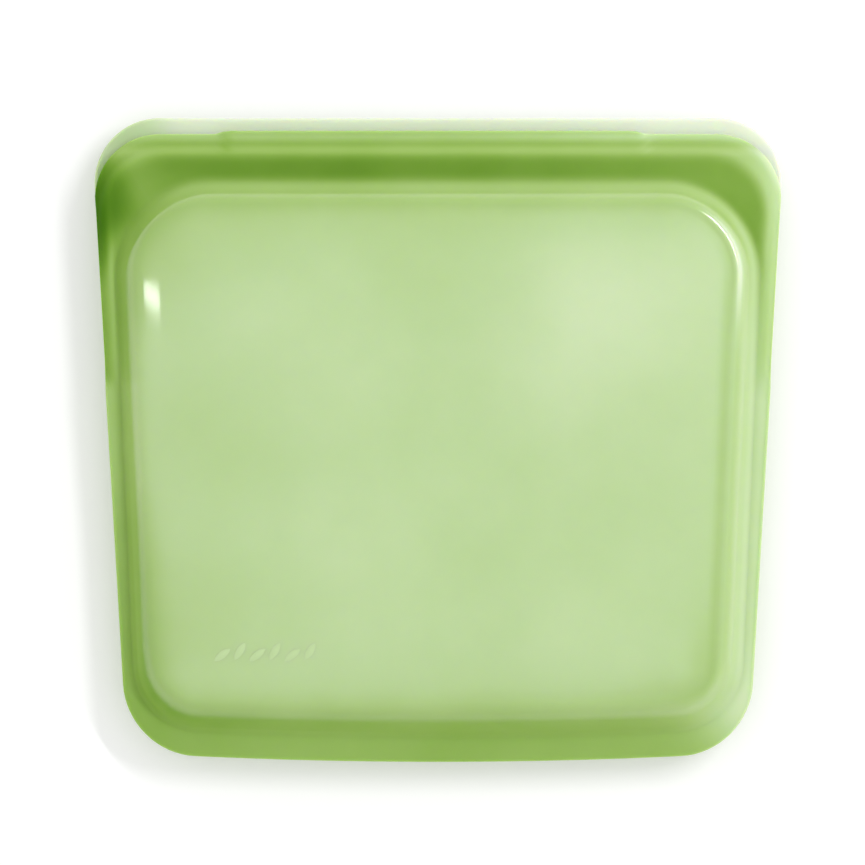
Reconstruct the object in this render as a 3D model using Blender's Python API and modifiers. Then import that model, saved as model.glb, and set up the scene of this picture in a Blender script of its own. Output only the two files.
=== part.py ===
"""A reusable silicone food bag lying on its back panel, in metres.

+X runs along the mouth, +Y points at the mouth and +Z is up, out of the front panel. The origin is
under the middle of the bag, on the surface that it lies on. The bag is two moulded silicone shells
bonded along three edges. Above the bond the front shell is free, and a rib around its edge presses
into a channel on the back shell.
"""

import bpy
import bmesh
import math
from mathutils import Vector

MM = 0.001

# Driving dimensions
BAG_HEIGHT = 178.1 * MM
LIP_STEP = 4.6 * MM
HALF_WIDTH_TOP = 96.2 * MM
HALF_WIDTH_BOTTOM = 85.8 * MM
TOP_CORNER_RADIUS = 18 * MM
BOTTOM_CORNER_RADIUS = 20 * MM
BOTTOM_SAG = 2.6 * MM
DEPTH = 24 * MM
SEAM_PLANE = 10 * MM
WALL = 1.3 * MM
HALF_GAP_BOND = 0.8 * MM
HALF_GAP_MOUTH = 1.7 * MM
CLEARANCE = 0.3 * MM

# Where the bond along the sides ends and the free mouth begins
BOND_TOP = 16.2 * MM
GAP_RAMP_START = -20 * MM

# The pocket's outline, where its shoulder leaves the flat edge
POCKET_TOP = 70.2 * MM
POCKET_BOTTOM = -78.5 * MM
POCKET_HALF_TOP = 88.5 * MM
POCKET_HALF_BOTTOM = 82.2 * MM
POCKET_RADIUS_TOP = 25 * MM
POCKET_RADIUS_BOTTOM = 17 * MM

# The shoulder as (millimetres inside the pocket's outline, share of the full depth)
FRONT_SHOULDER = ((-0.8, 0.0), (0.6, 0.2), (2.8, 0.5), (6.5, 0.76), (13, 0.9), (28, 0.975), (55, 1.0))
BACK_SHOULDER = ((-0.8, 0.0), (0.6, 0.25), (2.8, 0.62), (6.5, 0.9), (10, 1.0), (28, 1.0), (55, 1.0))
LEAST_POCKET_RADIUS = 3 * MM

# The bottom edge bows down between these two shares of the way from the middle to the edge
BOW_START = 0.35
BOW_FULL = 0.95

# The bond's inner edge, outside the pocket's outline
SEAM_INNER_STEP = 1.2 * MM

# The pinch seal
SEAL_TOP = 77.0 * MM
SEAL_INSET = 4.1 * MM
SEAL_CORNER_RADIUS = 16 * MM
SEAL_END = 18.5 * MM
CHANNEL_HALF_WIDTH = 2.1 * MM
GROOVE_HALF_WIDTH = 1.1 * MM
CHANNEL_BASE = 0.6 * MM
RIB_HALF_WIDTH = 0.5 * MM
RIB_TIP_DRAFT = 0.15 * MM

# The lips, which start just outside the seal
LIP_HALF_LENGTH = 77.7 * MM
FRONT_LIP_HINGE = 79.75 * MM
BACK_LIP_HINGE = 80.15 * MM

# How finely an outline is divided, and the turn between two faces that is drawn as an edge
CORNER_STEPS = 6
EDGE_STEPS = 10
SHARP_ANGLE = math.radians(40)

# How far a cutter reaches past the bag
CUTTER_REACH = 200 * MM

TOP = BAG_HEIGHT / 2
BOTTOM = -BAG_HEIGHT / 2
FRONT_TOP = TOP - LIP_STEP
FLAP_HINGE_POINT = (0, BOND_TOP + CLEARANCE / 2, DEPTH)


def clear_scene():
    for obj in list(bpy.data.objects):
        bpy.data.objects.remove(obj, do_unlink=True)


def new_collection(name):
    collection = bpy.data.collections.new(name)
    bpy.context.scene.collection.children.link(collection)
    return collection


def material(name, color, roughness):
    made = bpy.data.materials.new(name)
    made.use_nodes = True
    shader = made.node_tree.nodes["Principled BSDF"]
    shader.inputs["Base Color"].default_value = (*color, 1)
    shader.inputs["Roughness"].default_value = roughness
    shader.inputs["Metallic"].default_value = 0
    made.diffuse_color = (*color, 1)
    return made


def smoothstep(low, high, value):
    share = min(max((value - low) / (high - low), 0), 1)
    return share * share * (3 - 2 * share)


def half_width(y):
    """Half the bag's width at the height y, along its slanted sides."""
    share = (y - BOTTOM) / BAG_HEIGHT
    return HALF_WIDTH_BOTTOM + (HALF_WIDTH_TOP - HALF_WIDTH_BOTTOM) * share


def half_gap(y):
    """Half the gap between the two shells' edges: narrow at the bond, wider around the seal."""
    share = min(max((y - GAP_RAMP_START) / (BOND_TOP - GAP_RAMP_START), 0), 1)
    return HALF_GAP_BOND + (HALF_GAP_MOUTH - HALF_GAP_BOND) * share


def sag(x, y):
    """How far the bottom edge bows down at this point."""
    across = max(1 - (x / HALF_WIDTH_BOTTOM) ** 2, 0)
    return BOTTOM_SAG * across * smoothstep(BOW_START * BOTTOM, BOW_FULL * BOTTOM, y)


def rounded_corner(before, corner, after, radius):
    """Points on the arc that rounds a corner between two straight sides."""
    to_before = (before - corner).normalized()
    to_after = (after - corner).normalized()
    half_angle = to_before.angle(to_after) / 2
    centre = corner + (to_before + to_after).normalized() * radius / math.sin(half_angle)
    start = corner + to_before * radius / math.tan(half_angle) - centre
    turn = to_before.angle_signed(to_after)
    sweep = math.copysign(math.pi - abs(turn), turn)
    points = []
    for step in range(CORNER_STEPS + 1):
        angle = sweep * step / CORNER_STEPS
        cos, sin = math.cos(angle), math.sin(angle)
        points.append(centre + Vector((start.x * cos - start.y * sin, start.x * sin + start.y * cos)))
    return points


def trapezoid(top, bottom, half_top, half_bottom, radius_top, radius_bottom):
    """A closed outline with rounded corners, anticlockwise from the lower right corner."""
    corners = (
        (Vector((half_bottom, bottom)), radius_bottom),
        (Vector((half_top, top)), radius_top),
        (Vector((-half_top, top)), radius_top),
        (Vector((-half_bottom, bottom)), radius_bottom),
    )
    arcs = []
    for index, (corner, radius) in enumerate(corners):
        before = corners[index - 1][0]
        after = corners[(index + 1) % 4][0]
        arcs.append(rounded_corner(before, corner, after, radius))
    outline = []
    for index, arc in enumerate(arcs):
        following = arcs[(index + 1) % 4][0]
        outline += arc
        outline += [arc[-1].lerp(following, step / EDGE_STEPS) for step in range(1, EDGE_STEPS)]
    return [Vector((point.x, point.y - sag(point.x, point.y))) for point in outline]


def edge_outline(top):
    straight_bottom = BOTTOM + BOTTOM_SAG
    radii = (TOP_CORNER_RADIUS, BOTTOM_CORNER_RADIUS)
    return trapezoid(top, straight_bottom, half_width(top), half_width(straight_bottom), *radii)


def pocket_outline(inset):
    return trapezoid(
        POCKET_TOP - inset,
        POCKET_BOTTOM + inset,
        POCKET_HALF_TOP - inset,
        POCKET_HALF_BOTTOM - inset,
        max(POCKET_RADIUS_TOP - inset, LEAST_POCKET_RADIUS),
        max(POCKET_RADIUS_BOTTOM - inset, LEAST_POCKET_RADIUS),
    )


def loft(name, sections, capped=(), looped=False):
    """A mesh through closed sections with the same number of points. capped lists the closed ends."""
    shape = bmesh.new()
    rows = [[shape.verts.new(point) for point in section] for section in sections]
    count = len(rows[0])
    pairs = list(zip(rows, rows[1:]))
    if looped:
        pairs.append((rows[-1], rows[0]))
    for row, after in pairs:
        for index in range(count):
            following = (index + 1) % count
            shape.faces.new((row[index], row[following], after[following], after[index]))
    for end in capped:
        shape.faces.new(rows[end])
    bmesh.ops.recalc_face_normals(shape, faces=shape.faces)
    mesh = bpy.data.meshes.new(name)
    shape.to_mesh(mesh)
    shape.free()
    return mesh


def shell_mesh(name, edge_top, shoulder, side):
    """The outer surface of one shell, from its edge to the middle of its pocket. side is +1 at the front."""
    rings = [(edge_outline(edge_top), 0.0)]
    rings += [(pocket_outline(inset * MM), share) for inset, share in shoulder]
    far_level = DEPTH if side > 0 else 0
    sections = []
    for outline, share in rings:
        section = []
        for point in outline:
            edge_level = SEAM_PLANE + side * (half_gap(point.y) + WALL)
            section.append((point.x, point.y, edge_level + (far_level - edge_level) * share))
        sections.append(section)
    mesh = loft(name, sections, capped=(-1,))
    if mesh.polygons[-1].normal.z * side < 0:
        mesh.flip_normals()
    return mesh


def region_box(name, low, high, collection):
    """A cutter that keeps or removes the stretch of a shell between two corners."""
    shape = bmesh.new()
    bmesh.ops.create_cube(shape, size=1)
    size = Vector(high) - Vector(low)
    bmesh.ops.scale(shape, vec=size, verts=shape.verts)
    bmesh.ops.translate(shape, vec=(Vector(high) + Vector(low)) / 2, verts=shape.verts)
    mesh = bpy.data.meshes.new(name)
    shape.to_mesh(mesh)
    shape.free()
    box = bpy.data.objects.new(name, mesh)
    box.hide_render = True
    box.display_type = "WIRE"
    collection.objects.link(box)
    return box


def band_box(name, half_length, low_y, high_y, collection):
    """A cutter between two heights on the bag, right through its depth."""
    low = (-half_length, low_y, -CUTTER_REACH)
    high = (half_length, high_y, CUTTER_REACH)
    return region_box(name, low, high, collection)


def add_boolean(obj, operation, cutter):
    modifier = obj.modifiers.new(f"{operation.lower()} {cutter.name}", "BOOLEAN")
    modifier.operation = operation
    modifier.solver = "EXACT"
    modifier.object = cutter


def add_part(name, mesh, finish, collection, origin=(0, 0, 0)):
    """Makes an object of the mesh with its origin on the given point, which is its hinge if it moves."""
    mesh.materials.append(finish)
    for vertex in mesh.vertices:
        vertex.co -= Vector(origin)
    mesh.shade_smooth()
    mesh.set_sharp_from_angle(angle=SHARP_ANGLE)
    part = bpy.data.objects.new(name, mesh)
    part.location = origin
    collection.objects.link(part)
    return part


def add_shell_part(name, mesh, regions, finish, collection, origin=(0, 0, 0)):
    """One stretch of a shell's outer surface, given its wall. regions lists (operation, cutter)."""
    part = add_part(name, mesh, finish, collection, origin)
    solidify = part.modifiers.new("wall", "SOLIDIFY")
    solidify.thickness = WALL
    solidify.offset = -1
    solidify.use_even_offset = True
    for operation, cutter in regions:
        add_boolean(part, operation, cutter)
    return part


def front_mesh(name):
    return shell_mesh(name, FRONT_TOP, FRONT_SHOULDER, 1)


def back_mesh(name):
    return shell_mesh(name, TOP, BACK_SHOULDER, -1)


def make_front_panel(collection, below_bond_top):
    finish = material("front silicone", (0.42, 0.62, 0.24), 0.38)
    regions = [("INTERSECT", below_bond_top)]
    return add_shell_part("front_panel", front_mesh("front_panel"), regions, finish, collection)


def make_front_flap(collection, cutters):
    """The free part of the front shell, above the bond, without its lip."""
    finish = material("flap silicone", (0.40, 0.60, 0.22), 0.38)
    low = BOND_TOP + CLEARANCE
    free_part = band_box("above bond top", CUTTER_REACH, low, CUTTER_REACH, cutters)
    slot_start = FRONT_LIP_HINGE - CLEARANCE / 2
    lip_slot = band_box("front lip slot", LIP_HALF_LENGTH + CLEARANCE, slot_start, CUTTER_REACH, cutters)
    regions = [("INTERSECT", free_part), ("DIFFERENCE", lip_slot)]
    mesh = front_mesh("front_flap")
    return add_shell_part("front_flap", mesh, regions, finish, collection, FLAP_HINGE_POINT)


def make_front_lip(collection, cutters):
    finish = material("front lip silicone", (0.36, 0.56, 0.18), 0.38)
    low = FRONT_LIP_HINGE + CLEARANCE / 2
    band = band_box("front lip band", LIP_HALF_LENGTH, low, CUTTER_REACH, cutters)
    hinge = (0, FRONT_LIP_HINGE, SEAM_PLANE + HALF_GAP_MOUTH + WALL)
    mesh = front_mesh("front_lip")
    return add_shell_part("front_lip", mesh, [("INTERSECT", band)], finish, collection, hinge)


def make_back_panel(collection, cutters):
    finish = material("back silicone", (0.50, 0.68, 0.32), 0.38)
    slot_start = BACK_LIP_HINGE - CLEARANCE / 2
    lip_slot = band_box("back lip slot", LIP_HALF_LENGTH + CLEARANCE, slot_start, CUTTER_REACH, cutters)
    regions = [("DIFFERENCE", lip_slot)]
    return add_shell_part("back_panel", back_mesh("back_panel"), regions, finish, collection)


def make_back_lip(collection, cutters):
    finish = material("back lip silicone", (0.68, 0.82, 0.55), 0.38)
    low = BACK_LIP_HINGE + CLEARANCE / 2
    band = band_box("back lip band", LIP_HALF_LENGTH, low, CUTTER_REACH, cutters)
    hinge = (0, BACK_LIP_HINGE, SEAM_PLANE - HALF_GAP_MOUTH - WALL)
    mesh = back_mesh("back_lip")
    return add_shell_part("back_lip", mesh, [("INTERSECT", band)], finish, collection, hinge)


def make_edge_seam(collection, below_bond_top):
    """The bond between the two shells: a flat strip down both sides and around the bottom."""
    finish = material("seam silicone", (0.34, 0.52, 0.16), 0.45)
    sections = []
    for outer, inner in zip(edge_outline(TOP), pocket_outline(-SEAM_INNER_STEP)):
        section = []
        for place, side in ((outer, -1), (outer, 1), (inner, 1), (inner, -1)):
            height = side * (half_gap(place.y) - CLEARANCE)
            section.append((place.x, place.y, SEAM_PLANE + height))
        sections.append(section)
    seam = add_part("edge_seam", loft("edge_seam", sections, looped=True), finish, collection)
    add_boolean(seam, "INTERSECT", below_bond_top)
    return seam


def seal_path():
    """The line of the seal with its outward direction: up one side, along the mouth, down the other."""
    half_top = half_width(SEAL_TOP) - SEAL_INSET
    half_end = half_width(SEAL_END) - SEAL_INSET
    start = Vector((half_end, SEAL_END))
    right = Vector((half_top, SEAL_TOP))
    left = Vector((-half_top, SEAL_TOP))
    end = Vector((-half_end, SEAL_END))
    right_arc = rounded_corner(start, right, left, SEAL_CORNER_RADIUS)
    left_arc = rounded_corner(right, left, end, SEAL_CORNER_RADIUS)
    points = [start] + right_arc
    points += [right_arc[-1].lerp(left_arc[0], step / EDGE_STEPS) for step in range(1, EDGE_STEPS)]
    points += left_arc + [end]
    path = []
    for index, point in enumerate(points):
        before = points[max(index - 1, 0)]
        after = points[min(index + 1, len(points) - 1)]
        along = (after - before).normalized()
        path.append((point, Vector((along.y, -along.x))))
    return path


def sweep_mesh(name, profile):
    """A profile of (offset outwards, height) points carried along the seal's line."""
    sections = []
    for point, outwards in seal_path():
        section = []
        for offset, height in profile:
            place = point + outwards * offset
            section.append((place.x, place.y, height))
        sections.append(section)
    return loft(name, sections, capped=(0, -1))


def make_seal_channel(collection):
    """Two ridges with a groove between them, on the back shell's edge."""
    finish = material("channel silicone", (0.24, 0.42, 0.08), 0.42)
    floor = SEAM_PLANE - HALF_GAP_MOUTH + CLEARANCE
    crest = SEAM_PLANE + HALF_GAP_MOUTH - CLEARANCE
    groove = floor + CHANNEL_BASE
    profile = (
        (-CHANNEL_HALF_WIDTH, floor),
        (CHANNEL_HALF_WIDTH, floor),
        (CHANNEL_HALF_WIDTH, crest),
        (GROOVE_HALF_WIDTH, crest),
        (GROOVE_HALF_WIDTH, groove),
        (-GROOVE_HALF_WIDTH, groove),
        (-GROOVE_HALF_WIDTH, crest),
        (-CHANNEL_HALF_WIDTH, crest),
    )
    return add_part("seal_channel", sweep_mesh("seal_channel", profile), finish, collection)


def make_seal_rib(collection):
    """The rib under the front shell's edge, which presses into the channel's groove."""
    finish = material("rib silicone", (0.22, 0.40, 0.07), 0.42)
    tip = SEAM_PLANE - HALF_GAP_MOUTH + CLEARANCE + CHANNEL_BASE + CLEARANCE
    root = SEAM_PLANE + HALF_GAP_MOUTH - CLEARANCE
    tip_half_width = RIB_HALF_WIDTH - RIB_TIP_DRAFT
    profile = (
        (-tip_half_width, tip),
        (tip_half_width, tip),
        (RIB_HALF_WIDTH, root),
        (-RIB_HALF_WIDTH, root),
    )
    return add_part("seal_rib", sweep_mesh("seal_rib", profile), finish, collection, FLAP_HINGE_POINT)


def main():
    clear_scene()
    bag = new_collection("reusable_silicone_bag")
    cutters = new_collection("cutters")
    below_bond_top = band_box("below bond top", CUTTER_REACH, -CUTTER_REACH, BOND_TOP, cutters)
    make_front_panel(bag, below_bond_top)
    make_front_flap(bag, cutters)
    make_front_lip(bag, cutters)
    make_back_panel(bag, cutters)
    make_back_lip(bag, cutters)
    make_edge_seam(bag, below_bond_top)
    make_seal_channel(bag)
    make_seal_rib(bag)


main()
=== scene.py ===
"""The looks of a reusable silicone food bag lying on its back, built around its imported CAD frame."""
import math
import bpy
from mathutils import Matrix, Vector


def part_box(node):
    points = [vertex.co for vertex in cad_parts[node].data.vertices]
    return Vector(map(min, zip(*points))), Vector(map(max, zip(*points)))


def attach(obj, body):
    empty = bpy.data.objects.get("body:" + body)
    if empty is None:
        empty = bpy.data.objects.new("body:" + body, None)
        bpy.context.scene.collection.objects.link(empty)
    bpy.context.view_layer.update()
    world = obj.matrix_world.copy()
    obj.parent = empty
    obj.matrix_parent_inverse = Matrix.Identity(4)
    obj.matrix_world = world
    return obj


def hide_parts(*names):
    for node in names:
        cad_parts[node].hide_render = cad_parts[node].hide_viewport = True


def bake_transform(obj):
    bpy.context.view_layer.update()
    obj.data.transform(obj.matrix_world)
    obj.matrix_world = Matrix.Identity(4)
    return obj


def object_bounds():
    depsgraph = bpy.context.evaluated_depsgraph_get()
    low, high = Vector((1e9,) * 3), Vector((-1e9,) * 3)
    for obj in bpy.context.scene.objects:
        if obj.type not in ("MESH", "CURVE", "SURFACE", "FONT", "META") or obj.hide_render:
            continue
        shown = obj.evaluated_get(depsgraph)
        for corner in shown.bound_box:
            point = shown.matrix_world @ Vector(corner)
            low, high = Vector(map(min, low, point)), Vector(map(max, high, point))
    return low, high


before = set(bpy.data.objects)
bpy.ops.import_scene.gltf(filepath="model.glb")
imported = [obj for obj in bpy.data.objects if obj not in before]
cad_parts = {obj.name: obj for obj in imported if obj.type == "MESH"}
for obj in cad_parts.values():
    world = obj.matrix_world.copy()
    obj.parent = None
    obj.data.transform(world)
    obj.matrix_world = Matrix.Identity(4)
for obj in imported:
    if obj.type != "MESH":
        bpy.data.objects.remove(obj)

from types import SimpleNamespace

import bmesh
import bpy
import numpy as np
from mathutils import Vector

cad_low, cad_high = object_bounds()
MM = 0.001

# The CAD frame's own places
BOTTOM = cad_low.y
BACK_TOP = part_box("back_lip")[1].y
FRONT_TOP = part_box("front_lip")[1].y
BAG_HEIGHT = BACK_TOP - BOTTOM
DEPTH = cad_high.z
LIP_TOP_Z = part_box("front_lip")[1].z
LIP_UNDER_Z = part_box("back_lip")[0].z
SEAM_PLANE = (LIP_TOP_Z + LIP_UNDER_Z) / 2
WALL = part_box("front_lip")[1].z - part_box("front_lip")[0].z
HALF_GAP_MOUTH = (LIP_TOP_Z - LIP_UNDER_Z) / 2 - WALL
BOND_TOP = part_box("edge_seam")[1].y
LIP_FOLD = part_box("front_lip")[0].y

# Outlines, as in the CAD model
HALF_WIDTH_TOP = 96.2 * MM
HALF_WIDTH_BOTTOM = 85.8 * MM
TOP_CORNER_RADIUS = 18 * MM
BOTTOM_CORNER_RADIUS = 20 * MM
BOTTOM_SAG = 2.6 * MM
HALF_GAP_BOND = 0.8 * MM
GAP_RAMP_START = -20 * MM
POCKET_TOP = 70.2 * MM
POCKET_BOTTOM = -78.5 * MM
POCKET_HALF_TOP = 88.5 * MM
POCKET_HALF_BOTTOM = 82.2 * MM
POCKET_RADIUS_TOP = 25 * MM
POCKET_RADIUS_BOTTOM = 17 * MM
SEAL_TOP = 77.0 * MM
SEAL_INSET = 4.1 * MM
SEAL_CORNER_RADIUS = 16 * MM
SEAL_END = 18.5 * MM

# The bond reaches inwards to this far short of the pocket, and up to this far past the seal's lower ends
SEAM_INNER_STEP = 1.2 * MM
BOND_OVERLAP = 0.3 * MM

# The wider stretch of the front lip, for the fingers
TAB_LEFT = -60 * MM
TAB_RIGHT = 56 * MM
TAB_SLOPE = 2 * MM
TAB_REACH = 0.8 * MM
TAB_RISE = 0.45 * MM

# How finely an outline is divided
CORNER_STEPS = 16
EDGE_STEPS = 70
SIDE_STEPS = CORNER_STEPS + EDGE_STEPS

# How many faces round a shell's edge, and how many rings lie between its edge and the pocket
RIM_STEPS = 6
FLANGE_RINGS = 24

SILICONE_GREEN = (0.515, 0.681, 0.338)

# Painted light: colour added per unit of depth past 1, standing in for light scattered inside the deeper stretches,
# keeps them from going dull
DEEP_GLOW = (0.26, 0.1, 0.14)

# The moulded surface is matt up to the first height and polished from the second
POLISH_START = 16.5 * MM
POLISH_FULL = 19 * MM

# Light doesn't scatter right beside the lip's fold, where two skins meet
SCATTER_START = 0.3 * MM
SCATTER_FULL = 2.5 * MM


def smoothstep(low, high, value):
    share = np.clip((value - low) / (high - low), 0, 1)
    return share * share * (3 - 2 * share)


def bump(centre, width, value):
    return np.exp(-(((value - centre) / width) ** 2))


# ---------------------------------------------------------------- outlines


def half_width(y):
    return HALF_WIDTH_BOTTOM + (HALF_WIDTH_TOP - HALF_WIDTH_BOTTOM) * (y - BOTTOM) / BAG_HEIGHT


def half_gap(y):
    share = np.clip((y - GAP_RAMP_START) / (BOND_TOP - GAP_RAMP_START), 0, 1)
    return HALF_GAP_BOND + (HALF_GAP_MOUTH - HALF_GAP_BOND) * share


def sag(x, y):
    """How far the bottom edge bows down at this point."""
    across = np.maximum(1 - (x / HALF_WIDTH_BOTTOM) ** 2, 0)
    return BOTTOM_SAG * across * smoothstep(0.35 * BOTTOM, 0.95 * BOTTOM, y)


def rounded_corner(before, corner, after, radius):
    """Points on the arc that rounds a corner between two straight sides."""
    to_before = (before - corner) / np.linalg.norm(before - corner)
    to_after = (after - corner) / np.linalg.norm(after - corner)
    half_angle = math.acos(np.clip(to_before @ to_after, -1, 1)) / 2
    middle = (to_before + to_after) / np.linalg.norm(to_before + to_after)
    centre = corner + middle * radius / math.sin(half_angle)
    start = corner + to_before * radius / math.tan(half_angle) - centre
    turn = math.copysign(math.pi - 2 * half_angle, np.cross(-to_before, to_after))
    angles = np.linspace(0, turn, CORNER_STEPS + 1)
    cos, sin = np.cos(angles), np.sin(angles)
    return centre + np.stack([start[0] * cos - start[1] * sin, start[0] * sin + start[1] * cos], axis=1)


def straight(start, end):
    """The points between two arcs, without the ends."""
    shares = np.linspace(0, 1, EDGE_STEPS + 1)[1:-1, None]
    return start + (end - start) * shares


def trapezoid(top, bottom, half_top, half_bottom, radius_top, radius_bottom):
    """A closed outline with rounded corners, anticlockwise from the lower right corner."""
    corners = np.array([(half_bottom, bottom), (half_top, top), (-half_top, top), (-half_bottom, bottom)])
    radii = (radius_bottom, radius_top, radius_top, radius_bottom)
    arcs = [rounded_corner(corners[i - 1], corners[i], corners[(i + 1) % 4], radii[i]) for i in range(4)]
    pieces = []
    for index, arc in enumerate(arcs):
        pieces += [arc, straight(arc[-1], arcs[(index + 1) % 4][0])]
    outline = np.concatenate(pieces)
    outline[:, 1] -= sag(outline[:, 0], outline[:, 1])
    return outline


def edge_outline(top, inset=0.0):
    bottom = BOTTOM + BOTTOM_SAG
    return trapezoid(
        top - inset,
        bottom + inset,
        half_width(top) - inset,
        half_width(bottom) - inset,
        TOP_CORNER_RADIUS - inset,
        BOTTOM_CORNER_RADIUS - inset,
    )


def pocket_outline(inset=0.0):
    least_radius = 3 * MM
    return trapezoid(
        POCKET_TOP - inset,
        POCKET_BOTTOM + inset,
        POCKET_HALF_TOP - inset,
        POCKET_HALF_BOTTOM - inset,
        max(POCKET_RADIUS_TOP - inset, least_radius),
        max(POCKET_RADIUS_BOTTOM - inset, least_radius),
    )


def seal_path():
    """The line of the seal: up the right side, along the mouth, down the left side."""
    half_top = half_width(SEAL_TOP) - SEAL_INSET
    half_end = half_width(SEAL_END) - SEAL_INSET
    start, end = np.array((half_end, SEAL_END)), np.array((-half_end, SEAL_END))
    right, left = np.array((half_top, SEAL_TOP)), np.array((-half_top, SEAL_TOP))
    right_arc = rounded_corner(start, right, left, SEAL_CORNER_RADIUS)
    left_arc = rounded_corner(right, left, end, SEAL_CORNER_RADIUS)
    pieces = [
        start[None],
        straight(start, right_arc[0]),
        right_arc,
        straight(right_arc[-1], left_arc[0]),
        left_arc,
        straight(left_arc[-1], end),
        end[None],
    ]
    return np.concatenate(pieces)


# ---------------------------------------------------------------- distances


def rounded_shape(top, bottom, half_top, half_bottom, radius_top, radius_bottom):
    return {
        "top": top,
        "bottom": bottom,
        "half_top": half_top,
        "lean": (half_top - half_bottom) / (top - bottom),
        "corners": ((top - radius_top, radius_top, 1), (bottom + radius_bottom, radius_bottom, -1)),
    }


def inset_in(shape, points):
    """How far inside a rounded trapezoid each point is, and the unit direction away from its outline."""
    x, side_of = np.abs(points[:, 0]), np.where(points[:, 0] < 0, -1, 1)
    y = points[:, 1]
    # The bowed bottom is measured as if it were straight
    y = y + sag(x, y + sag(x, y))
    slant = math.hypot(1, shape["lean"])
    side_x = shape["half_top"] - (shape["top"] - y) * shape["lean"]
    choices = np.stack([(side_x - x) / slant, shape["top"] - y, y - shape["bottom"]])
    nearest = choices.argmin(axis=0)
    inset = choices.min(axis=0)
    out_x = np.array([1 / slant, 0, 0])[nearest]
    out_y = np.array([-shape["lean"] / slant, 1, -1])[nearest]
    for centre_y, radius, sign in shape["corners"]:
        side_at_centre = shape["half_top"] - (shape["top"] - centre_y) * shape["lean"]
        from_x, from_y = x - (side_at_centre - radius * slant), y - centre_y
        along_side = (from_x * shape["lean"] + from_y) * sign
        inside = (from_x > 0) & (along_side > 0)
        length = np.maximum(np.hypot(from_x, from_y), 1e-9)
        inset = np.where(inside, radius - length, inset)
        out_x = np.where(inside, from_x / length, out_x)
        out_y = np.where(inside, from_y / length, out_y)
    return inset, out_x * side_of, out_y


# ---------------------------------------------------------------- the shells' surfaces

POCKET = rounded_shape(
    POCKET_TOP, POCKET_BOTTOM, POCKET_HALF_TOP, POCKET_HALF_BOTTOM, POCKET_RADIUS_TOP, POCKET_RADIUS_BOTTOM
)
FRONT_EDGE = rounded_shape(
    FRONT_TOP, BOTTOM + BOTTOM_SAG, half_width(FRONT_TOP), HALF_WIDTH_BOTTOM, TOP_CORNER_RADIUS, BOTTOM_CORNER_RADIUS
)
SEAL_LOOP = rounded_shape(
    SEAL_TOP,
    BOTTOM,
    half_width(SEAL_TOP) - SEAL_INSET,
    half_width(BOTTOM) - SEAL_INSET,
    SEAL_CORNER_RADIUS,
    SEAL_CORNER_RADIUS,
)
SEAL = seal_path()

# The pocket's shoulder: a steep rounded step, wider along the bottom, then a long gentle rise
STEP_WIDTH = 5.6 * MM
STEP_WIDTH_BOTTOM = 9 * MM
STEP_WIDENING = (-55 * MM, -75 * MM)
STEP_SHARE = 0.68
STEP_POWER = 2.2
STEP_FOOT = 1.6 * MM
STEP_FOOT_POWER = 1.5
RISE_WIDTH = 30 * MM
RISE_POWER = 2.4

# A faint crease in the panel beyond the shoulder's step, fading out towards the left
CREASE_DEPTH = 0.25 * MM
CREASE_WIDTH = 1.6 * MM
CREASE_PER_STEP = 1.25
CREASE_FADE = (-30 * MM, 30 * MM)

# Where the left shoulder catches the window
GLINT_SPOT = (-78.4 * MM, 39.4 * MM)

# The raised ridge over the seal, lower towards the upper right corner
RIDGE_HEIGHT = 1.5 * MM
RIDGE_CREST = -1.8 * MM
RIDGE_OUTER_WIDTH = 2.8 * MM
RIDGE_INNER_WIDTH = 6.5 * MM
RIDGE_CALM = 0.75
RIDGE_CALM_X = (20 * MM, 70 * MM)
RIDGE_CALM_Y = (50 * MM, 70 * MM)
LIP_DROOP = 0.9 * MM
LIP_DROOP_WIDTH = 4.5 * MM

# Where the front is free of the bond, and where its tab starts to rise
MOUTH_START = (BOND_TOP - 4 * MM, BOND_TOP + 8 * MM)
TAB_START = (LIP_FOLD - 1 * MM, LIP_FOLD + 2 * MM)

# The panel lies this far under the CAD's top, and the swells fade in past the shoulder
PANEL_SINK = 0.6 * MM
SWELL_FADE = (6 * MM, 24 * MM)

# The back's curve from its edge down to the flat middle
BACK_CURVE_WIDTH = 10 * MM
BACK_CURVE_POWER = 2.2

# Soft swells in the filled-out front, in millimetres: (x, y, radius, height)
SWELLS = (
    (44, 34, 26, 0.7),
    (-38, 28, 24, 0.5),
    (-22, -34, 20, 0.5),
    (37, -52, 22, 0.6),
    (2, 8, 26, -0.5),
    (-62, -8, 18, -0.3),
    (60, -12, 20, -0.3),
    (4, 52, 20, -0.3),
)


def swells(points, patches):
    x, y = (points / MM).T
    return sum(height * np.exp(-((x - cx) ** 2 + (y - cy) ** 2) / radius**2) for cx, cy, radius, height in patches)


def tab(x):
    """1 along the wider stretch of the front lip, with slanted ends."""
    start = smoothstep(TAB_LEFT - TAB_SLOPE, TAB_LEFT + TAB_SLOPE, x)
    return start * (1 - smoothstep(TAB_RIGHT - TAB_SLOPE, TAB_RIGHT + TAB_SLOPE, x))


def ridge(past_seal):
    width = np.where(past_seal < RIDGE_CREST, RIDGE_OUTER_WIDTH, RIDGE_INNER_WIDTH)
    share = np.clip((past_seal - RIDGE_CREST) / width, -1, 1)
    return np.cos(math.pi / 2 * share) ** 2


def shoulder(inset, step_width):
    """The share of a pocket's depth at a distance inside its outline."""
    share = np.clip((inset + STEP_FOOT) / (step_width + STEP_FOOT), 0, 1)
    step = 1 - (1 - share**STEP_FOOT_POWER) ** STEP_POWER
    rise = 1 - (1 - np.clip(inset / RISE_WIDTH, 0, 1)) ** RISE_POWER
    return STEP_SHARE * step + (1 - STEP_SHARE) * rise


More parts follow.
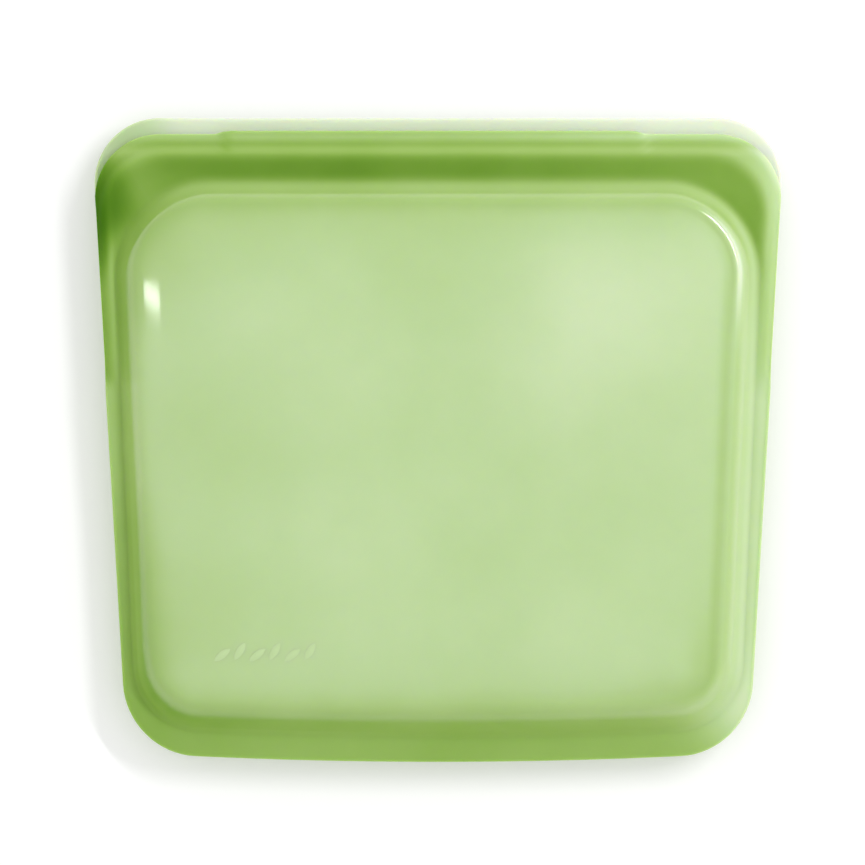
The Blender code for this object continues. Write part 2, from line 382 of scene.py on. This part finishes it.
def front_height(points):
    x, y = points.T
    inset = inset_in(POCKET, points)[0]
    from_edge = inset_in(FRONT_EDGE, points)[0]
    past_seal = inset_in(SEAL_LOOP, points)[0]
    mouth = smoothstep(*MOUTH_START, y)
    level = SEAM_PLANE + half_gap(y) + WALL
    level = level - LIP_DROOP * mouth * (1 - smoothstep(0, LIP_DROOP_WIDTH, from_edge))
    calm = 1 - RIDGE_CALM * smoothstep(*RIDGE_CALM_X, x) * smoothstep(*RIDGE_CALM_Y, y)
    level = level + RIDGE_HEIGHT * ridge(past_seal) * mouth * calm
    level = level + TAB_RISE * tab(x) * smoothstep(*TAB_START, y)
    top = DEPTH - PANEL_SINK + swells(points, SWELLS) * MM * smoothstep(*SWELL_FADE, inset)
    step_width = STEP_WIDTH + (STEP_WIDTH_BOTTOM - STEP_WIDTH) * smoothstep(*STEP_WIDENING, y)
    crease = CREASE_DEPTH * bump(CREASE_PER_STEP * step_width, CREASE_WIDTH, inset) * smoothstep(*CREASE_FADE, x)
    return level + (top - level) * shoulder(inset, step_width) - crease


def back_height(points):
    inset = inset_in(POCKET, points)[0]
    level = SEAM_PLANE - half_gap(points[:, 1]) - WALL
    share = np.clip(inset / BACK_CURVE_WIDTH, 0, 1)
    return level * (1 - share) ** BACK_CURVE_POWER


# ---------------------------------------------------------------- depth of colour, with painted shade and painted light

# How gradually one side of the pocket gives way to the next around a corner
SIDE_BLEND = 8 * MM

# Depth of the green on each stretch: the power that SILICONE_GREEN is raised to, about 1 in the panel's middle. It
# holds painted shade and painted light as well as the green's own depth.
PANEL_DEPTH = 0.98
# Painted light: the _RIGHT values are paler on the lit right side. Painted shade deepens the others, most of all the
# valley along the mouth.
FLANGE_DEPTH, FLANGE_DEPTH_RIGHT = 2.0, 0.72
LIP_DEPTH, LIP_DEPTH_RIGHT = 1.88, 1.25
VALLEY_DEPTH, VALLEY_DEPTH_LEFT, VALLEY_DEPTH_RIGHT = 3.1, 2.4, 1.15
RIM_DEPTH_TOP, RIM_DEPTH_RIGHT = 1.6, 1.1
BACK_DEPTH, BACK_LIP_DEPTH = 1.15, 0.26
SEAM_DEPTH, SEAL_DEPTH, MARK_DEPTH = 2.0, 2.6, 1.0

# Painted light and painted shade: lighter and deeper patches of the front, in millimetres: (x, y, radius, change)
LIGHT_AND_SHADE_PATCHES = (
    (46, 36, 30, -0.26),
    (-40, 30, 24, -0.08),
    (-28, -32, 20, -0.10),
    (37, -53, 18, -0.07),
    (-59, 2, 17, 0.12),
    (-66, -48, 18, 0.22),
    (2, 60, 20, 0.12),
    (-50, 60, 18, 0.12),
    (-74, 52, 12, 0.22),
)


def mix(first, second, share):
    return first + (second - first) * share


def side_shares(points):
    """How far a point belongs to the pocket's right, left, top and bottom side. They add up to 1."""
    x, y = points.T
    up = (y - POCKET_BOTTOM) / (POCKET_TOP - POCKET_BOTTOM)
    half = mix(POCKET_HALF_BOTTOM, POCKET_HALF_TOP, up)
    gaps = np.stack([half - x, half + x, POCKET_TOP - y, y - POCKET_BOTTOM]) / SIDE_BLEND
    shares = np.exp(gaps.min(axis=0) - gaps)
    return shares / shares.sum(axis=0)


def places(points):
    """Where each point of the front lies: distances in millimetres, and shares from 0 to 1."""
    x, y = (points / MM).T
    right, left, top, bottom = side_shares(points)
    inset, facing_right, _ = inset_in(POCKET, points)
    return SimpleNamespace(
        x=x,
        y=y,
        inset=inset / MM,
        from_edge=inset_in(FRONT_EDGE, points)[0] / MM,
        past_seal=inset_in(SEAL_LOOP, points)[0] / MM,
        right=right,
        left=left,
        top=top,
        bottom=bottom,
        mouth=smoothstep(14 - 4 * right, 18 + 8 * right, y),
        low=smoothstep(0, -50, y),
        right_half=smoothstep(0, 50, x),
        # Where the painted highlight streak lies on the upper right shoulder
        glossy=smoothstep(0.35, 0.8, facing_right) * smoothstep(22, 50, y) * (1 - smoothstep(66, 71, y)),
    )


def flange_depth(at):
    """The bonded edge: deepest at the lower left as painted shade, palest at the lower right as painted light."""
    depth = mix(FLANGE_DEPTH, FLANGE_DEPTH_RIGHT, at.right) + 0.4 * at.left * at.low + 1.2 * at.left * at.bottom
    depth = depth - at.left * (0.35 + 0.15 * (1 - at.low) * bump(1, 1.3, at.from_edge)) - 2.4 * at.right * at.bottom
    return depth + 0.45 * at.right * (1 - at.bottom) * bump(0, 0.8, at.from_edge)


def lip_depth(at):
    """The pull edge outside the seal: paler at its rim, paler on the right and at the upper right corner as painted
    light, deeper on the left as painted shade.
    """
    depth = mix(LIP_DEPTH - 0.3 * at.right_half, LIP_DEPTH_RIGHT, at.right) + 0.2 * at.left
    depth = depth - 2.5 * at.right * at.top * np.exp(-np.maximum(at.from_edge, 0) / 4)
    depth = depth - (0.45 + 0.15 * at.right_half) * at.top * bump(0.8, 1.3, at.from_edge)
    # Along the fold, where no light scatters, the same green needs more depth
    depth = depth + 0.4 * bump(LIP_FOLD / MM + 1.4, 1.3, at.y)
    # The tab's left end is shaded and its right end is lit
    for end, change in ((TAB_LEFT / MM, 0.4), (TAB_RIGHT / MM, -0.3)):
        depth = depth + change * bump(end + 1.5, 1.4, at.x) * smoothstep(77, 80, at.y)
    return depth


def valley_depth(at):
    """The band between the seal and the pocket, the deepest of all along the mouth: the seal's deeper green with
    painted shade on it, paler on the right as painted light.
    """
    depth_right = VALLEY_DEPTH_RIGHT + 1.5 * smoothstep(30, 60, at.y)
    depth = mix(VALLEY_DEPTH - 0.45 * at.right_half, depth_right, at.right)
    return mix(depth, VALLEY_DEPTH_LEFT, at.left) - 2.2 * at.left * at.top


def upper_left_shade(at):
    """Painted shade on the outer edge at the upper left, broad at the corner and thin lower down."""
    strength = at.mouth * (0.5 + 3.7 * smoothstep(38.5, 65, at.y)) * smoothstep(0.05, 0.5, at.left) * (1 - at.top)
    width = 2.0 + 1.8 * smoothstep(40, 62, at.y) + 110 * (at.left * at.top) ** 2
    return strength * np.exp(-((np.maximum(at.from_edge, 0) / width) ** 3))


def rim_depth(at, flange):
    """The line of the pocket's outline, deeper on the left and at the bottom as painted shade, paler on the right as
    painted light.
    """
    depth = mix(mix(flange, RIM_DEPTH_TOP - 0.15 * at.right_half, at.top), RIM_DEPTH_RIGHT, at.right)
    return depth + 0.9 * at.left * at.top + at.left * (0.35 + 0.35 * at.mouth) + 0.2 * at.bottom


def outside_depth(at, flange, rim):
    """Everything around the pocket."""
    past_crest = smoothstep(mix(-3.5, -1, at.right), mix(1.2, 2.8, at.right), at.past_seal)
    depth = mix(flange, mix(lip_depth(at), valley_depth(at), past_crest), at.mouth) + upper_left_shade(at)
    # Painted light on the crest along the upper left edge
    depth = depth - 0.9 * at.left * at.mouth * (1 - at.top) * bump(3.9, 1.2, at.from_edge)
    # Painted shade in the valley beside the pocket on the right
    beside = 1.6 * at.top + 0.5 * (1 - at.top) * smoothstep(25, 50, at.y)
    depth = depth + at.right * beside * bump(-1.5, 1.3, at.inset)
    depth = mix(depth, rim, smoothstep(-3.6, 0.6, at.inset))
    # Painted shade: a thin dark line at the foot of the left shoulder
    return depth + 0.15 * smoothstep(0.2, 0.6, at.left) * bump(-1.5 + 1.3 * at.low, 1.1, at.inset)


def inside_depth(at, rim, panel):
    """The pocket: from the rim's depth over the slopes to the panel's, with painted shade on the slopes that reaches
    furthest on the left, bottom and top.
    """
    reach = 2.8 + at.left * (2.4 * at.low + 1.5 * smoothstep(20, 50, at.y)) + 2.4 * at.bottom + 7 * at.top
    start = 3 * at.bottom + (1.3 + 0.7 * at.low) * at.left
    depth = panel + (rim - panel) * np.exp(-((np.maximum(at.inset - start, 0) / reach) ** 1.4))
    # A painted highlight streak on the upper right shoulder, with a line of painted shade on each side of it
    for change, distance, width in ((0.45, 2.4, 1.2), (-0.8, 4.6, 0.75), (0.25, 6.4, 0.8)):
        depth = depth + change * at.glossy * bump(distance, width, at.inset)
    # Painted shade: lines along the right side's crease and slope, deeper slopes at the lower left, top and bottom,
    # and a deeper lower right corner
    right_side = at.right * (1 - at.top)
    depth = depth + right_side * (0.42 * bump(7.6, 1.6, at.inset) + 0.35 * (1 - at.glossy) * bump(3.9, 1.2, at.inset))
    depth = depth + 0.5 * at.left * at.low * bump(2.4, 1.2, at.inset) + 0.25 * at.top * bump(4.5, 3, at.inset)
    depth = depth + 0.25 * at.bottom * (1 - smoothstep(-40, 10, at.x)) * bump(3, 3, at.inset)
    return depth + 2 * at.right * at.bottom * bump(9, 5, at.inset)


def front_depth(points):
    """Depth of the front's green: 1 in the middle of the panel, more in the valleys and on the shaded slopes as
    painted shade, less on the lit right side as painted light.
    """
    at = places(points)
    flange = flange_depth(at)
    rim = rim_depth(at, flange)
    panel = PANEL_DEPTH + swells(points, LIGHT_AND_SHADE_PATCHES)
    depth = np.where(at.inset > 0, inside_depth(at, rim, panel), outside_depth(at, flange, rim))
    # Painted light: a pale line along the foot of the pocket's right side
    painted_light_line = at.right * (1 - at.top - at.bottom) * (1 - at.glossy) * bump(-0.2, 1.1, at.inset)
    return depth - 0.25 * painted_light_line


def back_depth(points):
    """Depth of the back's green: palest where only the thin lip reaches past the front."""
    x = points[:, 0] / MM
    inset = inset_in(POCKET, points)[0] / MM
    past_front = -inset_in(FRONT_EDGE, points)[0] / MM
    body = BACK_DEPTH + 0.8 * np.exp(-((np.maximum(inset, 0) / 7) ** 1.5))
    # The lip is deeper at its left end as painted shade and a little paler to the right as painted light
    lip = BACK_LIP_DEPTH - 0.08 * smoothstep(0, 60, x) + 0.5 * smoothstep(-70, -88, x)
    return mix(body, lip, smoothstep(-2.5, 0, past_front))


# ---------------------------------------------------------------- the shells' meshes

# How far apart the pocket's rings lie, from its outline inwards, in millimetres
RING_STEPS = (0.4, 0.4, 0.5, 0.5, 0.6, 0.6, 0.7, 0.7, 0.8, 0.8, 0.8, 0.9, 1, 1, 1, 1.2, 1.4, 1.6, 1.8, 2, 2.2, 2.4)


def front_rim_line(inset):
    outline = edge_outline(FRONT_TOP, inset)
    outline[:, 1] += TAB_REACH * tab(outline[:, 0]) * smoothstep(0.9 * FRONT_TOP, FRONT_TOP - WALL, outline[:, 1])
    return outline


def back_rim_line(inset):
    return edge_outline(BACK_TOP, inset)


def shell_lines(rim_line):
    """Nested outlines from the edge of a shell to the ring around its middle."""
    edge = rim_line(WALL / 2)
    pocket = pocket_outline()
    lines = [edge + (pocket - edge) * share for share in np.linspace(0, 1, FLANGE_RINGS + 1)]
    inset = 0.0
    for step in RING_STEPS:
        inset += step * MM
        lines.append(pocket_outline(inset))
    return lines


def middle_patch(ring):
    """A square grid of points inside a ring, from one middle of a corner to the next."""
    turned = np.roll(ring, -CORNER_STEPS // 2, axis=0)
    right = turned[: SIDE_STEPS + 1]
    top = turned[SIDE_STEPS : 2 * SIDE_STEPS + 1][::-1]
    left = turned[2 * SIDE_STEPS : 3 * SIDE_STEPS + 1][::-1]
    bottom = np.concatenate([turned[3 * SIDE_STEPS :], turned[:1]])
    u = np.linspace(0, 1, SIDE_STEPS + 1)[None, :, None]
    v = np.linspace(0, 1, SIDE_STEPS + 1)[:, None, None]
    sides = (1 - v) * bottom[None] + v * top[None] + (1 - u) * left[:, None] + u * right[:, None]
    corners = (1 - u) * (1 - v) * bottom[0] + u * (1 - v) * bottom[-1]
    corners = corners + (1 - u) * v * top[0] + u * v * top[-1]
    return sides - corners


def ring_faces(first, second, count):
    """Quads between two rings of points that start at the given numbers."""
    steps = np.arange(count)
    following = (steps + 1) % count
    return np.stack([first + steps, first + following, second + following, second + steps], axis=1)


def surface(lines):
    """Points and quads of a sheet made of nested rings with a square grid in the middle."""
    count = len(lines[0])
    faces = [ring_faces(i * count, (i + 1) * count, count) for i in range(len(lines) - 1)]
    patch = middle_patch(lines[-1])
    size = SIDE_STEPS + 1
    number = np.full((size, size), -1)
    ring_start = (len(lines) - 1) * count
    turned = (np.arange(count) + CORNER_STEPS // 2) % count + ring_start
    number[:, -1] = turned[: size]
    number[-1, ::-1] = turned[SIDE_STEPS : SIDE_STEPS + size]
    number[::-1, 0] = turned[2 * SIDE_STEPS : 2 * SIDE_STEPS + size]
    number[0, :-1] = turned[3 * SIDE_STEPS :]
    inner = patch[1:-1, 1:-1].reshape(-1, 2)
    number[1:-1, 1:-1] = np.arange(len(inner)).reshape(size - 2, size - 2) + len(lines) * count
    quads = np.stack([number[:-1, :-1], number[:-1, 1:], number[1:, 1:], number[1:, :-1]], axis=-1)
    faces.append(quads.reshape(-1, 4))
    return np.concatenate([*lines, inner]), np.concatenate(faces)


def slopes(height, points):
    """The upward unit normals of a height field."""
    step = 0.05 * MM
    dx = (height(points + (step, 0)) - height(points - (step, 0))) / (2 * step)
    dy = (height(points + (0, step)) - height(points - (0, step))) / (2 * step)
    normals = np.stack([-dx, -dy, np.ones(len(points))], axis=1)
    return normals / np.linalg.norm(normals, axis=1)[:, None]


def build_mesh(name, points, faces, depth):
    mesh = bpy.data.meshes.new(name)
    mesh.from_pydata(points.tolist(), [], faces.tolist())
    marks = {
        "silicone_depth_and_painted_light": depth,
        "silicone_polish": smoothstep(POLISH_START, POLISH_FULL, points[:, 2]),
        "silicone_scatter": smoothstep(SCATTER_START, SCATTER_FULL, np.abs(points[:, 1] - LIP_FOLD)),
    }
    for label, values in marks.items():
        attribute = mesh.attributes.new(label, "FLOAT", "POINT")
        attribute.data.foreach_set("value", np.asarray(values, np.float32))
    mesh.shade_smooth()
    mesh.validate()
    mesh.update()
    obj = bpy.data.objects.new(name, mesh)
    bpy.context.scene.collection.objects.link(obj)
    return obj


def shell(name, rim_line, height, side, depth):
    """A closed wall: its outer surface, a rounded edge and its inner surface. side is +1 at the front."""
    lines = shell_lines(rim_line)
    flat, quads = surface(lines)
    count = len(lines[0])
    normals = slopes(height, flat) * side
    outer = np.column_stack([flat, height(flat)])
    inner = outer - normals * WALL
    outwards = rim_line(0) - rim_line(WALL / 2)
    outwards /= np.linalg.norm(outwards, axis=1)[:, None]
    outwards = np.column_stack([outwards, np.zeros(count)])
    middle = (outer[:count] + inner[:count]) / 2
    lift = (outer[:count] - inner[:count]) / 2
    rim = []
    for step in range(1, RIM_STEPS):
        angle = math.pi * step / RIM_STEPS
        rim.append(middle + lift * math.cos(angle) + outwards * (WALL / 2) * math.sin(angle))
    points = np.concatenate([outer, inner] + rim)
    faces = [quads, quads[:, ::-1] + len(outer)]
    starts = [0] + [2 * len(outer) + index * count for index in range(RIM_STEPS - 1)] + [len(outer)]
    for first, second in zip(starts, starts[1:]):
        faces.append(ring_faces(second, first, count))
    faces = np.concatenate(faces)
    if side < 0:
        faces = faces[:, ::-1]
    outer_depth = depth(flat)
    values = np.concatenate([outer_depth, outer_depth] + [outer_depth[:count]] * (RIM_STEPS - 1))
    return build_mesh(name, points, faces, values)


def keep_beyond(obj, place, direction):
    """Cuts an object's mesh with a plane, keeps what lies in that direction and closes the cut."""
    shape = bmesh.new()
    shape.from_mesh(obj.data)
    geometry = shape.verts[:] + shape.edges[:] + shape.faces[:]
    bmesh.ops.bisect_plane(shape, geom=geometry, dist=1e-6, plane_co=place, plane_no=direction, clear_inner=True)
    cut = [edge for edge in shape.edges if edge.is_boundary]
    for edge in cut:
        edge.smooth = False
    filled = bmesh.ops.holes_fill(shape, edges=cut, sides=0)["faces"]
    bmesh.ops.triangulate(shape, faces=filled)
    shape.to_mesh(obj.data)
    shape.free()
    return obj


def copy_of(obj, name):
    copied = obj.copy()
    copied.data = obj.data.copy()
    copied.name = copied.data.name = name
    bpy.context.scene.collection.objects.link(copied)
    return copied


# ---------------------------------------------------------------- seam, seal and mark

SHARP_ANGLE = math.radians(50)

# The seam's outer side, from its upper to its lower edge: distance inside the back's edge in millimetres, and
# height above the seam plane as a share of half the gap. It reaches a little into both shells.
SEAM_PROFILE = ((0.6, 1.05), (0.25, 0.75), (0.12, 0.0), (0.25, -0.75), (0.6, -1.05))

# The channel's ridges and the groove between them
CHANNEL_HALF_WIDTH = 2.1 * MM
CHANNEL_SINK = 0.4 * MM
GROOVE_HALF_WIDTH = 1.1 * MM
GROOVE_FLOOR = 1.0 * MM
RIDGE_ROUNDING = 0.5 * MM

# The rib's stem, and the bead near its tip that grips in the groove
RIB_HALF_WIDTH = 0.5 * MM
BEAD_HALF_WIDTH = 0.62 * MM
BEAD_HEIGHT = 0.6 * MM

# The row of leaves
LEAF_COUNT = 6
LEAF_LENGTH = 6.2 * MM
LEAF_WIDTH = 2.3 * MM
LEAF_RISE = 0.3 * MM
LEAF_BURY = 0.5 * MM
LEAF_EDGE_SINK = 0.03 * MM
LEAF_START = -59 * MM
LEAF_SPACING = 4.8 * MM
LEAF_LINE = -58.4 * MM
LEAF_STAGGER = 0.5 * MM
LEAF_TURNS = (math.radians(38), math.radians(58))


def close_up(obj):
    """Fills a mesh's open ends, turns its faces outwards and keeps its steep edges sharp."""
    shape = bmesh.new()
    shape.from_mesh(obj.data)
    bmesh.ops.holes_fill(shape, edges=[edge for edge in shape.edges if edge.is_boundary], sides=0)
    bmesh.ops.recalc_face_normals(shape, faces=shape.faces)
    shape.to_mesh(obj.data)
    shape.free()
    obj.data.set_sharp_from_angle(angle=SHARP_ANGLE)
    return obj


def lofted(name, sections, depth, looped=False):
    """A closed mesh through sections with the same number of points. Open ends are closed flat."""
    rows, count = len(sections), len(sections[0])
    points = np.concatenate(sections)
    pairs = rows if looped else rows - 1
    faces = [ring_faces(row * count, (row + 1) % rows * count, count) for row in range(pairs)]
    return close_up(build_mesh(name, points, np.concatenate(faces), np.full(len(points), depth)))


def edge_seam():
    """The bond between the shells' edges, rounded and a little inside them."""
    inner = pocket_outline(-SEAM_INNER_STEP)
    rings = [(edge_outline(BACK_TOP, inset * MM), share) for inset, share in SEAM_PROFILE]
    rings += [(inner, SEAM_PROFILE[-1][1]), (inner, SEAM_PROFILE[0][1])]
    sections = [np.column_stack([ring, SEAM_PLANE + share * half_gap(ring[:, 1])]) for ring, share in rings]
    obj = lofted("edge_seam_skin", sections, SEAM_DEPTH, looped=True)
    return keep_beyond(obj, (0, SEAL_END + BOND_OVERLAP, 0), (0, -1, 0))


def swept(name, profile, depth):
    """A profile of (offset outwards, height) arrays, one for each point of the seal, carried along it."""
    along = np.gradient(SEAL, axis=0)
    along /= np.linalg.norm(along, axis=1)[:, None]
    outwards = np.column_stack([along[:, 1], -along[:, 0]])
    sections = []
    for point, direction, section in zip(SEAL, outwards, profile):
        places_across = point + direction * section[:, :1]
        sections.append(np.column_stack([places_across, section[:, 1]]))
    return lofted(name, sections, depth)


def mirrored(side):
    """One side of a profile, then the same side the other way round."""
    return side + [(-offset, height) for offset, height in reversed(side)]


def seal_channel():
    """Two rounded ridges with a groove between them, moulded on the back shell's edge."""
    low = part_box("seal_channel")[0].z - CHANNEL_SINK
    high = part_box("seal_channel")[1].z
    half, groove, floor = CHANNEL_HALF_WIDTH, GROOVE_HALF_WIDTH, low + GROOVE_FLOOR
    crest = (half + groove) / 2
    side = [
        (half, low),
        (half, high - RIDGE_ROUNDING),
        (crest + 0.3 * MM, high - 0.08 * MM),
        (crest, high),
        (crest - 0.3 * MM, high - 0.08 * MM),
        (groove, high - RIDGE_ROUNDING),
        (groove - 0.1 * MM, floor + 0.3 * MM),
        (groove - 0.4 * MM, floor),
    ]
    return swept("seal_channel_skin", [np.array(mirrored(side))] * len(SEAL), SEAL_DEPTH)


def seal_rib():
    """The rounded rib under the front shell's edge, down into the channel."""
    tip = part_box("seal_rib")[0].z
    profiles = []
    for root in front_height(SEAL) - 0.6 * WALL:
        side = [
            (RIB_HALF_WIDTH, root),
            (RIB_HALF_WIDTH, tip + 2 * BEAD_HEIGHT),
            (BEAD_HALF_WIDTH, tip + BEAD_HEIGHT),
            (0.3 * MM, tip + 0.1 * MM),
        ]
        profile = mirrored(side)
        profile.insert(len(side), (0, tip))
        profiles.append(np.array(profile))
    return swept("seal_rib_skin", profiles, SEAL_DEPTH)


def leaf(centre, turn):
    """Points and quads of one low almond-shaped relief on the front panel, closed but for its middle."""
    around, rings = 28, 7
    angles = np.linspace(0, 2 * math.pi, around, endpoint=False)
    across = np.sin(angles) * np.abs(np.sin(angles)) ** 0.5
    outline = np.column_stack([LEAF_LENGTH / 2 * np.cos(angles), LEAF_WIDTH / 2 * across])
    cos, sin = math.cos(turn), math.sin(turn)
    outline = outline @ np.array([(cos, sin), (-sin, cos)])
    shares = np.linspace(0.02, 1, rings)
    flat = np.concatenate([centre + outline * share for share in shares])
    rise = np.repeat(LEAF_RISE * np.cos(math.pi / 2 * shares) ** 1.5 - LEAF_EDGE_SINK, around)
    upper = np.column_stack([flat, front_height(flat) + rise])
    lower = np.column_stack([flat, front_height(flat) - LEAF_BURY])
    faces = [ring_faces(row * around, (row + 1) * around, around)[:, ::-1] for row in range(rings - 1)]
    total = len(upper)
    faces += [quads[:, ::-1] + total for quads in faces]
    faces.append(ring_faces((rings - 1) * around, total + (rings - 1) * around, around)[:, ::-1])
    return np.concatenate([upper, lower]), np.concatenate(faces)


def leaf_mark():
    """A row of small raised leaves low on the front, leaning and standing in turn."""
    points, faces = [], []
    start = 0
    for index in range(LEAF_COUNT):
        even = index % 2 == 0
        centre = np.array([LEAF_START + LEAF_SPACING * index, LEAF_LINE + (-LEAF_STAGGER if even else LEAF_STAGGER)])
        made, quads = leaf(centre, LEAF_TURNS[0] if even else LEAF_TURNS[1])
        points.append(made)
        faces.append(quads + start)
        start += len(made)
    depths = np.full(start, MARK_DEPTH)
    return close_up(build_mesh("leaf_mark", np.concatenate(points), np.concatenate(faces), depths))


# ---------------------------------------------------------------- materials


def fill_inputs(tree, node, inputs):
    """Sets a node's inputs. Each value is a number, a colour, or another node's output to link from."""
    for label, value in inputs.items():
        if isinstance(value, bpy.types.NodeSocket):
            tree.links.new(value, node.inputs[label])
        else:
            node.inputs[label].default_value = value


def add_node(tree, kind, output, inputs, operation=None):
    """Adds a shader node, sets its inputs and gives back one of its outputs."""
    node = tree.nodes.new("ShaderNode" + kind)
    if operation:
        node.operation = operation
    fill_inputs(tree, node, inputs)
    return node.outputs[output]


def mesh_mark(tree, label):
    """The value that build_mesh stored on each vertex under this name."""
    node = tree.nodes.new("ShaderNodeAttribute")
    node.attribute_name = label
    return node.outputs["Fac"]


def remap(tree, value, low, high, start=0, end=1):
    """A value that runs from start to end, stretched to run from low to high."""
    ranges = {"From Min": start, "From Max": end, "To Min": low, "To Max": high}
    return add_node(tree, "MapRange", "Result", {"Value": value, **ranges})


def silicone(name, roughness=0.34, scatters=True, polish=1.0, tone=1.0):
    """Frosted silicone. How deep its colour is, with painted shade and painted light in it, how polished it is and
    how it scatters are marked on the mesh.
    """
    made = bpy.data.materials.new(name)
    made.use_nodes = True
    tree = made.node_tree
    place = add_node(tree, "TexCoord", "Object", {})
    cloud = add_node(tree, "TexNoise", "Fac", {"Vector": place, "Scale": 38, "Detail": 3, "Roughness": 0.55})
    frost = add_node(tree, "TexNoise", "Fac", {"Vector": place, "Scale": 900, "Detail": 2})
    grain = add_node(tree, "Bump", "Normal", {"Strength": 0.12, "Distance": 0.04 * MM, "Height": frost})

    change = remap(tree, cloud, 0.93, 1.07, start=0.25, end=0.75)
    # The depth mark holds the green's depth together with painted shade and painted light
    depth = add_node(tree, "Math", "Value", {0: mesh_mark(tree, "silicone_depth_and_painted_light"), 1: change}, "MULTIPLY")
    colour = add_node(tree, "Gamma", "Color", {"Color": (*SILICONE_GREEN, 1), "Gamma": depth})
    past_one = add_node(tree, "Math", "Value", {0: depth, 1: 1}, "SUBTRACT")
    deeper = add_node(tree, "Math", "Value", {0: past_one, 1: 0}, "MAXIMUM")
    glow = add_node(tree, "VectorMath", "Vector", {0: deeper, 1: DEEP_GLOW, 2: (tone, tone, tone)}, "MULTIPLY_ADD")

    surface_inputs = {
        "Base Color": add_node(tree, "VectorMath", "Vector", {0: colour, 1: glow}, "MULTIPLY"),
        "Roughness": remap(tree, cloud, roughness - 0.05, roughness + 0.07),
        "Normal": grain,
        "Specular IOR Level": 0.05,
        "Coat Weight": remap(tree, mesh_mark(tree, "silicone_polish"), 0, polish),
        "Coat Roughness": 0.065,
        "Coat IOR": 1.6,
        "Subsurface Weight": mesh_mark(tree, "silicone_scatter") if scatters else 0,
        "Subsurface Radius": (1.0, 1.2, 0.5),
        "Subsurface Scale": 1.2 * MM,
    }
    fill_inputs(tree, tree.nodes["Principled BSDF"], surface_inputs)
    return made


def finish_piece(obj, finish, slot, *replaced):
    obj.data.materials.clear()
    obj.data.materials.append(finish)
    if replaced:
        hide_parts(*replaced)
    return obj


# ---------------------------------------------------------------- lights, floor and camera

FRAME_WIDTH = 239.2 * MM
CAMERA_PLACE = (-1.52 * MM, 1.94 * MM, 1.2)
SENSOR = 36

# The table and the studio: bright enough that the lit table is pure white
TABLE_WHITE = 0.93
TABLE_GLOW = 0.12
STUDIO_LIGHT = 0.86

# The window's distance along the line in which the shoulder mirrors it
WINDOW_DISTANCE = 0.6


def place_light(data, place, target):
    lamp = bpy.data.objects.new(data.name, data)
    bpy.context.scene.collection.objects.link(lamp)
    lamp.location = place
    lamp.rotation_mode = "QUATERNION"
    lamp.rotation_quaternion = (Vector(target) - Vector(place)).to_track_quat("-Z", "Y")
    return lamp


def area_light(name, place, size, power, target=(0, 0, 0)):
    data = bpy.data.lights.new(name, "AREA")
    data.shape = "RECTANGLE"
    data.size, data.size_y = size
    data.energy = power
    return place_light(data, place, target)


def mirror_place(spot, distance):
    """Where a lamp stands so that the front mirrors it to the camera at this spot."""
    flat = np.array([spot])
    place = np.array([*spot, front_height(flat)[0]])
    normal = slopes(front_height, flat)[0]
    to_camera = np.array(CAMERA_PLACE) - place
    to_camera /= np.linalg.norm(to_camera)
    return place + (2 * (normal @ to_camera) * normal - to_camera) * distance


def make_stage():
    bpy.ops.mesh.primitive_plane_add(size=3)
    floor = bpy.context.active_object
    floor.name = "floor"
    paint = bpy.data.materials.new("white table")
    paint.use_nodes = True
    shader = paint.node_tree.nodes["Principled BSDF"]
    shader.inputs["Base Color"].default_value = (TABLE_WHITE, TABLE_WHITE, TABLE_WHITE, 1)
    shader.inputs["Roughness"].default_value = 0.6
    shader.inputs["Specular IOR Level"].default_value = 0.1
    shader.inputs["Emission Color"].default_value = (1, 1, 1, 1)
    shader.inputs["Emission Strength"].default_value = TABLE_GLOW
    floor.data.materials.append(paint)


def make_lights():
    world = bpy.data.worlds.new("studio")
    world.use_nodes = True
    background = world.node_tree.nodes["Background"]
    background.inputs["Color"].default_value = (1, 1, 1, 1)
    background.inputs["Strength"].default_value = STUDIO_LIGHT
    bpy.context.scene.world = world
    # Long and narrow, for the thin streak that the polished right shoulder mirrors
    area_light("key", place=(0.62, 0.42, 0.85), size=(0.55, 0.03), power=3.4)
    # Small and near, for the glint on the left shoulder
    window_place = mirror_place(GLINT_SPOT, WINDOW_DISTANCE)
    area_light("window", place=window_place, size=(0.008, 0.055), power=0.024, target=(*GLINT_SPOT, DEPTH))


def make_camera():
    data = bpy.data.cameras.new("camera")
    data.sensor_width = SENSOR
    data.lens = SENSOR * (CAMERA_PLACE[2] - SEAM_PLANE) / FRAME_WIDTH
    camera = bpy.data.objects.new("camera", data)
    bpy.context.scene.collection.objects.link(camera)
    camera.location = CAMERA_PLACE
    bpy.context.scene.camera = camera
    bpy.context.scene.view_settings.view_transform = "Standard"


def make_bag():
    front_finish = silicone("front silicone")
    mark_finish = silicone("mark silicone", scatters=False, polish=0.3)
    back_finish = silicone("back silicone", tone=0.9)
    seam_finish = silicone("seam silicone", 0.32)
    seal_finish = silicone("seal silicone", 0.28)
    fold = (0, LIP_FOLD, 0)

    front = shell("front_shell", front_rim_line, front_height, 1, front_depth)
    lip = keep_beyond(copy_of(front, "front_lip_skin"), fold, (0, 1, 0))
    keep_beyond(front, fold, (0, -1, 0))
    finish_piece(front, front_finish, "front_silicone", "front_panel", "front_flap")
    finish_piece(lip, front_finish, "front_silicone", "front_lip")
    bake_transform(front)
    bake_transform(lip)

    back = shell("back_shell", back_rim_line, back_height, -1, back_depth)
    finish_piece(back, back_finish, "back_silicone", "back_panel", "back_lip")
    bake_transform(back)

    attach(finish_piece(edge_seam(), seam_finish, "seam_silicone", "edge_seam"), "bag")
    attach(finish_piece(seal_channel(), seal_finish, "seal_silicone", "seal_channel"), "bag")
    rib = finish_piece(seal_rib(), seal_finish, "seal_silicone", "seal_rib")
    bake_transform(rib)
    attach(finish_piece(leaf_mark(), mark_finish, "front_silicone"), "bag")


make_bag()
make_stage()
make_lights()
make_camera()
